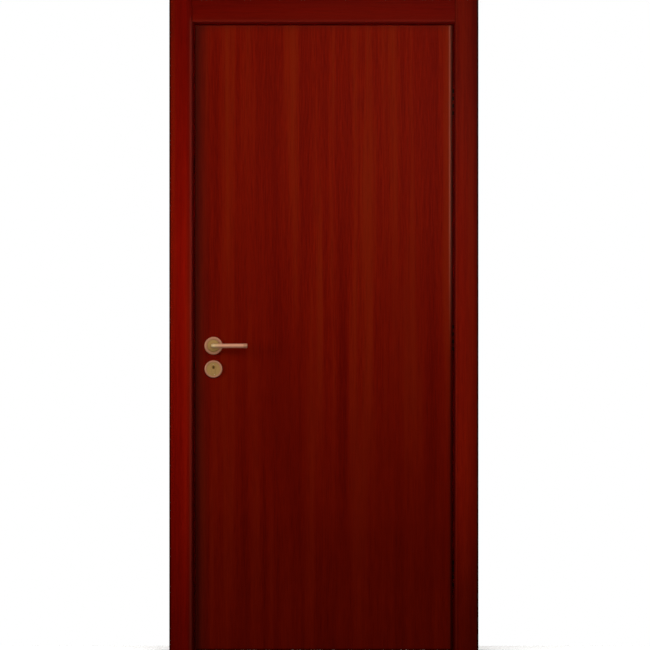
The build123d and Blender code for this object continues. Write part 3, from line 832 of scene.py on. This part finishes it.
# Faceplate and strike plate: bronzed steel, one screwed to the leaf's bevelled lock edge and one to the
# jamb opposite. The bronzing leaves a dark brown patina, dull and streaked along the plates.
bronzed_plate, tree = new_material("bronzed_steel_plate")
patina_place = node(
    tree,
    "ShaderNodeMapping",
    {"Scale": grain_scale(score_mm, score_length_mm, "z")},
    {"Vector": node(tree, "ShaderNodeTexCoord").outputs["Object"]},
)
patina = node(
    tree, "ShaderNodeTexNoise", {"Scale": 1.0, "Detail": 3.0}, {"Vector": patina_place.outputs[0]}
)
patina_colour = node(tree, "ShaderNodeValToRGB", links={"Fac": patina.outputs["Fac"]})
patina_colour.color_ramp.elements[0].color = linear(0x2E1C14)
patina_colour.color_ramp.elements[1].color = linear(0x4A3024)
bronzed = node(
    tree,
    "ShaderNodeBsdfPrincipled",
    {"Metallic": 1.0, "Roughness": 0.5},
    {"Base Color": patina_colour.outputs[0]},
)
node(tree, "ShaderNodeOutputMaterial", links={"Surface": bronzed.outputs[0]})
dress(bronzed_plate, "strike_plate", "faceplate")

plate_screw_inset = 0.010
plate_thickness = 0.003
lock_bevel = math.radians(2.0)
strike_low, strike_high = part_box("strike_plate")
plate_low, plate_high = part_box("faceplate")
cylinder_low, cylinder_high = (Vector(corner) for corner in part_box("key_cylinder"))
plug_radius = (cylinder_high.x - cylinder_low.x) / 2
plug_height = cylinder_high.z - plug_radius
leaf_middle_y = (cylinder_low.y + cylinder_high.y) / 2
jamb_face_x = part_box("lock_jamb")[1][0]
lock_edge_x = (plate_low[0] + plate_high[0] - plate_thickness * math.cos(lock_bevel)) / 2
strike_screws = [
    ((jamb_face_x, leaf_middle_y, z), (1, 0, 0))
    for z in (strike_low[2] + plate_screw_inset, strike_high[2] - plate_screw_inset)
]
faceplate_screws = [
    ((lock_edge_x, leaf_middle_y, z), (-math.cos(lock_bevel), math.sin(lock_bevel), 0))
    for z in (plate_low[2] + plate_screw_inset, plug_height, plate_high[2] - plate_screw_inset)
]
fasteners("strike_screws", strike_screws, screw_mesh, seed=13, body="lining")
fasteners("faceplate_screws", faceplate_screws, screw_mesh, seed=14, body="leaf")

# Roses, escutcheons and key cylinder: turned brass with a satin rose-gold coating, the roses clipped over
# the lever's bearing and the escutcheons over the cylinder. The turned faces inside the rims are yellower.

# Real scratches are under 0.1 mm wide. They are drawn coarser, so that they show.
scratch_mm = 0.6
face_tones = (0x8A6A3C, 0x9E7C4C)
rim_tones = (0x90624A, 0xA8765A)
# Painted shade: darker browns for the plug's face, round the dark keyway.
keyhole_shade_tones = (0x664620, 0x7A5A2E)
turned_roughness = (0.5, 0.6)


def satin_brass(name, centre, face_radius, change, inner_tones, outer_tones, roughness, bands):
    """Coated brass: one pair of tones round a centre, out to the face's radius, and another beyond it.
    Fine scratches mix the two tones of each pair and soften the shine to satin."""
    material, tree = new_material(name)
    centre_x, centre_z = centre
    place = node(tree, "ShaderNodeTexCoord").outputs["Object"]
    centred = node(
        tree, "ShaderNodeVectorMath", {"operation": "SUBTRACT", 1: (centre_x, 0, centre_z)}, {0: place}
    )
    flat = node(
        tree, "ShaderNodeVectorMath", {"operation": "MULTIPLY", 1: (1, 0, 1)}, {0: centred.outputs[0]}
    )
    radius = node(tree, "ShaderNodeVectorMath", {"operation": "LENGTH"}, {0: flat.outputs[0]})
    outside = node(
        tree,
        "ShaderNodeMapRange",
        {"From Min": face_radius - change, "From Max": face_radius + change},
        {"Value": radius.outputs["Value"]},
    )
    scratch = node(
        tree,
        "ShaderNodeTexNoise",
        {"Scale": 1000.0 / scratch_mm, "Detail": 3.0, "Roughness": 0.6},
        {"Vector": place},
    )
    inner, outer = (
        node(
            tree,
            "ShaderNodeMix",
            {"data_type": "RGBA", 6: linear(tones[0]), 7: linear(tones[1])},
            {0: scratch.outputs["Fac"]},
        )
        for tones in (inner_tones, outer_tones)
    )
    tone = node(
        tree,
        "ShaderNodeMix",
        {"data_type": "RGBA"},
        {0: outside.outputs[0], 6: inner.outputs[2], 7: outer.outputs[2]},
    ).outputs[2]
    for band in bands:
        tone = edge_band(tree, place, tone, **band)
    sheen = node(
        tree,
        "ShaderNodeMapRange",
        {"To Min": roughness[0], "To Max": roughness[1]},
        {"Value": scratch.outputs["Fac"]},
    )
    brass = node(
        tree,
        "ShaderNodeBsdfPrincipled",
        {"Metallic": 1.0},
        {"Base Color": tone, "Roughness": sheen.outputs[0]},
    )
    node(tree, "ShaderNodeOutputMaterial", links={"Surface": brass.outputs[0]})
    return material


def arc(centre, across, out, start, end, steps):
    """Points along a round, half across and half out, from one angle to another in degrees."""
    angles = [math.radians(start + (end - start) * i / steps) for i in range(steps + 1)]
    return [(centre[0] + across * math.cos(a), centre[1] + out * math.sin(a)) for a in angles]


fine_round = 0.0005
rim_round_across = 0.003
rim_round_out = 0.0026


def rounded_rim(inner_radius, outer_radius, out):
    """The half outline of a plate's rim: a fine round inside, a full one outside, down to the leaf."""
    inside = (inner_radius + fine_round, out - fine_round)
    outside = (outer_radius - rim_round_across, out - rim_round_out)
    return (
        arc(inside, fine_round, fine_round, 180, 90, steps=4)
        + arc(outside, rim_round_across, rim_round_out, 90, 0, steps=10)
        + [(outer_radius, 0.0)]
    )


def fit_on_leaf(mesh, centre, face_y, way, material, stands_for=None):
    """Stands a turned piece on the front, way -1, or the back, way 1, of the leaf."""
    centre_x, centre_z = centre
    for vertex in mesh.vertices:
        x, y, out = vertex.co
        vertex.co = (centre_x - way * x, face_y + way * out, centre_z + y)
    piece = bpy.data.objects.new(mesh.name, mesh)
    bpy.context.scene.collection.objects.link(piece)
    mesh.materials.append(material)
    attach(piece, "leaf")
    if stands_for:
        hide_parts(stands_for)


# The rose: a boss round the lever's neck, a groove, and a rim that lies a little lower than the boss.
rose_low, rose_high = (Vector(corner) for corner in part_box("front_rose"))
rose_middle = (rose_low + rose_high) / 2
rose_centre = (rose_middle.x, rose_middle.z)
rose_radius = (rose_high.x - rose_low.x) / 2
boss_out = rose_high.y - rose_low.y
boss_step = 0.002
rim_out = boss_out - boss_step
boss_radius = 0.0189
boss_round = 0.001
groove_radius = 0.0201
groove_depth = 0.0016
neck_bore = 0.00775
rose_profile = (
    arc((boss_radius - boss_round, boss_out - boss_round), boss_round, boss_round, 90, 0, steps=5)
    + [(boss_radius, rim_out - groove_depth), (groove_radius, rim_out - groove_depth)]
    + rounded_rim(groove_radius, rose_radius, rim_out)
)
bore = round_outline(neck_bore, sides=48)

# The escutcheon: a rim round a recess, pierced for the cylinder's round barrel and its narrower tail.
escutcheon_low, escutcheon_high = (Vector(corner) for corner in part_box("front_escutcheon"))
escutcheon_middle = (escutcheon_low + escutcheon_high) / 2
escutcheon_centre = (escutcheon_middle.x, escutcheon_middle.z)
escutcheon_radius = (escutcheon_high.x - escutcheon_low.x) / 2
escutcheon_out = escutcheon_high.y - escutcheon_low.y
recess_rim = 0.0065
recess_depth = 0.0016
recess_radius = escutcheon_radius - recess_rim
recess_out = escutcheon_out - recess_depth
escutcheon_rim = rounded_rim(recess_radius, escutcheon_radius, escutcheon_out)
escutcheon_profile = [(recess_radius, recess_out)] + escutcheon_rim
cylinder_fit = 0.0004
cylinder_tail_radius = 0.005
barrel_hole = plug_radius + cylinder_fit
tail_hole = cylinder_tail_radius + cylinder_fit
barrel_rise = plug_height - escutcheon_middle.z
tail_drop = cylinder_low.z + cylinder_tail_radius - escutcheon_middle.z
shoulder = math.degrees(math.acos(tail_hole / barrel_hole))
barrel_arc = arc((0, barrel_rise), barrel_hole, barrel_hole, -shoulder, 180 + shoulder, steps=30)
tail_arc = arc((0, tail_drop), tail_hole, tail_hole, 180, 360, steps=16)
keyhole_opening = barrel_arc + tail_arc

# The plug's face: a thin disc proud of the barrel, with the keyway through it. It isn't coated, and its
# brass is painted darker brown, as shade round the keyway.
plug_centre = (escutcheon_middle.x, plug_height)
plug_out = cylinder_high.y - leaf_middle_y
plug_face_margin = 0.003
plug_face_rise = 0.0003
keyway_width = 0.0024
keyway_height = 0.009
keyway_round = keyway_width / 2
straight = (keyway_height - keyway_width) / 2
keyway_top = arc((0, straight), keyway_round, keyway_round, 0, 180, steps=8)
keyway_foot = arc((0, -straight), keyway_round, keyway_round, 180, 360, steps=8)
keyway = keyway_top + keyway_foot
plug_face_radius = plug_radius - plug_face_margin
plug_arris = arc((plug_face_radius - plug_face_rise, 0), plug_face_rise, plug_face_rise, 90, 0, steps=3)
plug_profile = plug_arris + [(plug_face_radius, -plug_face_rise)]

rose_brass = satin_brass(
    "satin_rose_gold_brass_rose",
    centre=rose_centre,
    face_radius=0.0205,
    change=0.0015,
    inner_tones=face_tones,
    outer_tones=rim_tones,
    roughness=turned_roughness,
    bands=[],
)
key_brass = satin_brass(
    "satin_rose_gold_brass_escutcheon",
    centre=escutcheon_centre,
    face_radius=0.0225,
    change=0.0015,
    inner_tones=face_tones,
    outer_tones=rim_tones,
    roughness=turned_roughness,
    bands=[],
)
plug_brass = satin_brass(
    "oiled_brass_cylinder_plug",
    centre=plug_centre,
    face_radius=0.0,
    change=0.0001,
    inner_tones=face_tones,
    outer_tones=keyhole_shade_tones,
    roughness=turned_roughness,
    bands=[],
)
dress(key_brass, "key_cylinder")
plate_sides = 128
plug_sides = 48
both_faces = (("front", -1), ("back", 1))
for side, way in both_faces:
    low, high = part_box(f"{side}_rose")
    leaf_face_y = high[1] if way < 0 else low[1]
    rose_mesh = turned_mesh(f"{side}_turned_rose", rose_profile, bore, None, plate_sides)
    fit_on_leaf(rose_mesh, rose_centre, leaf_face_y, way, rose_brass, f"{side}_rose")
    escutcheon_mesh = turned_mesh(
        f"{side}_turned_escutcheon", escutcheon_profile, keyhole_opening, None, plate_sides
    )
    fit_on_leaf(escutcheon_mesh, escutcheon_centre, leaf_face_y, way, key_brass, f"{side}_escutcheon")
    plug_mesh = turned_mesh(f"{side}_cylinder_plug", plug_profile, keyway, None, plug_sides)
    fit_on_leaf(plug_mesh, plug_centre, leaf_middle_y + way * plug_out, way, plug_brass)

# Levers: one round brass bar on each side, bent from its neck along the leaf, held on the square spindle by
# a grub screw from below. The coating is pinker than on the turned faces and brushed duller. A painted
# highlight makes it yellower at the neck, and its tip is coloured darker.
dark_tip_length = 0.0125
dark_tip_edge = 0.0007
lever_tip_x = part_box("front_lever")[1][0]
# The last 12.5 mm of the tip is coloured darker, with a sharp edge.
dark_tip_band = dict(
    axis="X",
    start=lever_tip_x - dark_tip_length,
    full=lever_tip_x - dark_tip_length + dark_tip_edge,
    tone=0x8A5C40,
    strength=0.45,
)
lever_brass = satin_brass(
    "satin_rose_gold_brass_lever",
    centre=rose_centre,
    face_radius=0.016,
    change=0.014,
    # Painted highlight: the inner tones make the lever yellower near its neck.
    inner_tones=(0xB29A70, 0xC8B084),
    outer_tones=(0xB88468, 0xD09C80),
    roughness=(0.7, 0.8),
    bands=[dark_tip_band],
)
dress(lever_brass, "front_lever", "back_lever")

bar_radius = 0.00725
neck_depth = 0.012
hexagon_radius = 0.0012
hexagon_depth = 0.0012
grub_proud = 0.00002
# Radius and height at the face's edge, the end of its chamfer and the foot.
grub_profile = [(0.0019, 0.0), (0.0022, -0.0003), (0.0022, -0.002)]
grub_mesh = turned_mesh(
    "grub_screw", grub_profile, round_outline(hexagon_radius, sides=6), hexagon_depth, screw_sides
)
grub_screws = []
for side, way in both_faces:
    low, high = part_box(f"{side}_lever")
    neck_y = (high[1] if way < 0 else low[1]) + way * neck_depth
    grub_height = rose_middle.z - bar_radius - grub_proud
    grub_screws.append(((rose_middle.x, neck_y, grub_height), (0, 0, -1)))
fasteners("lever_grub_screws", grub_screws, grub_mesh, seed=15, body="lever_set")
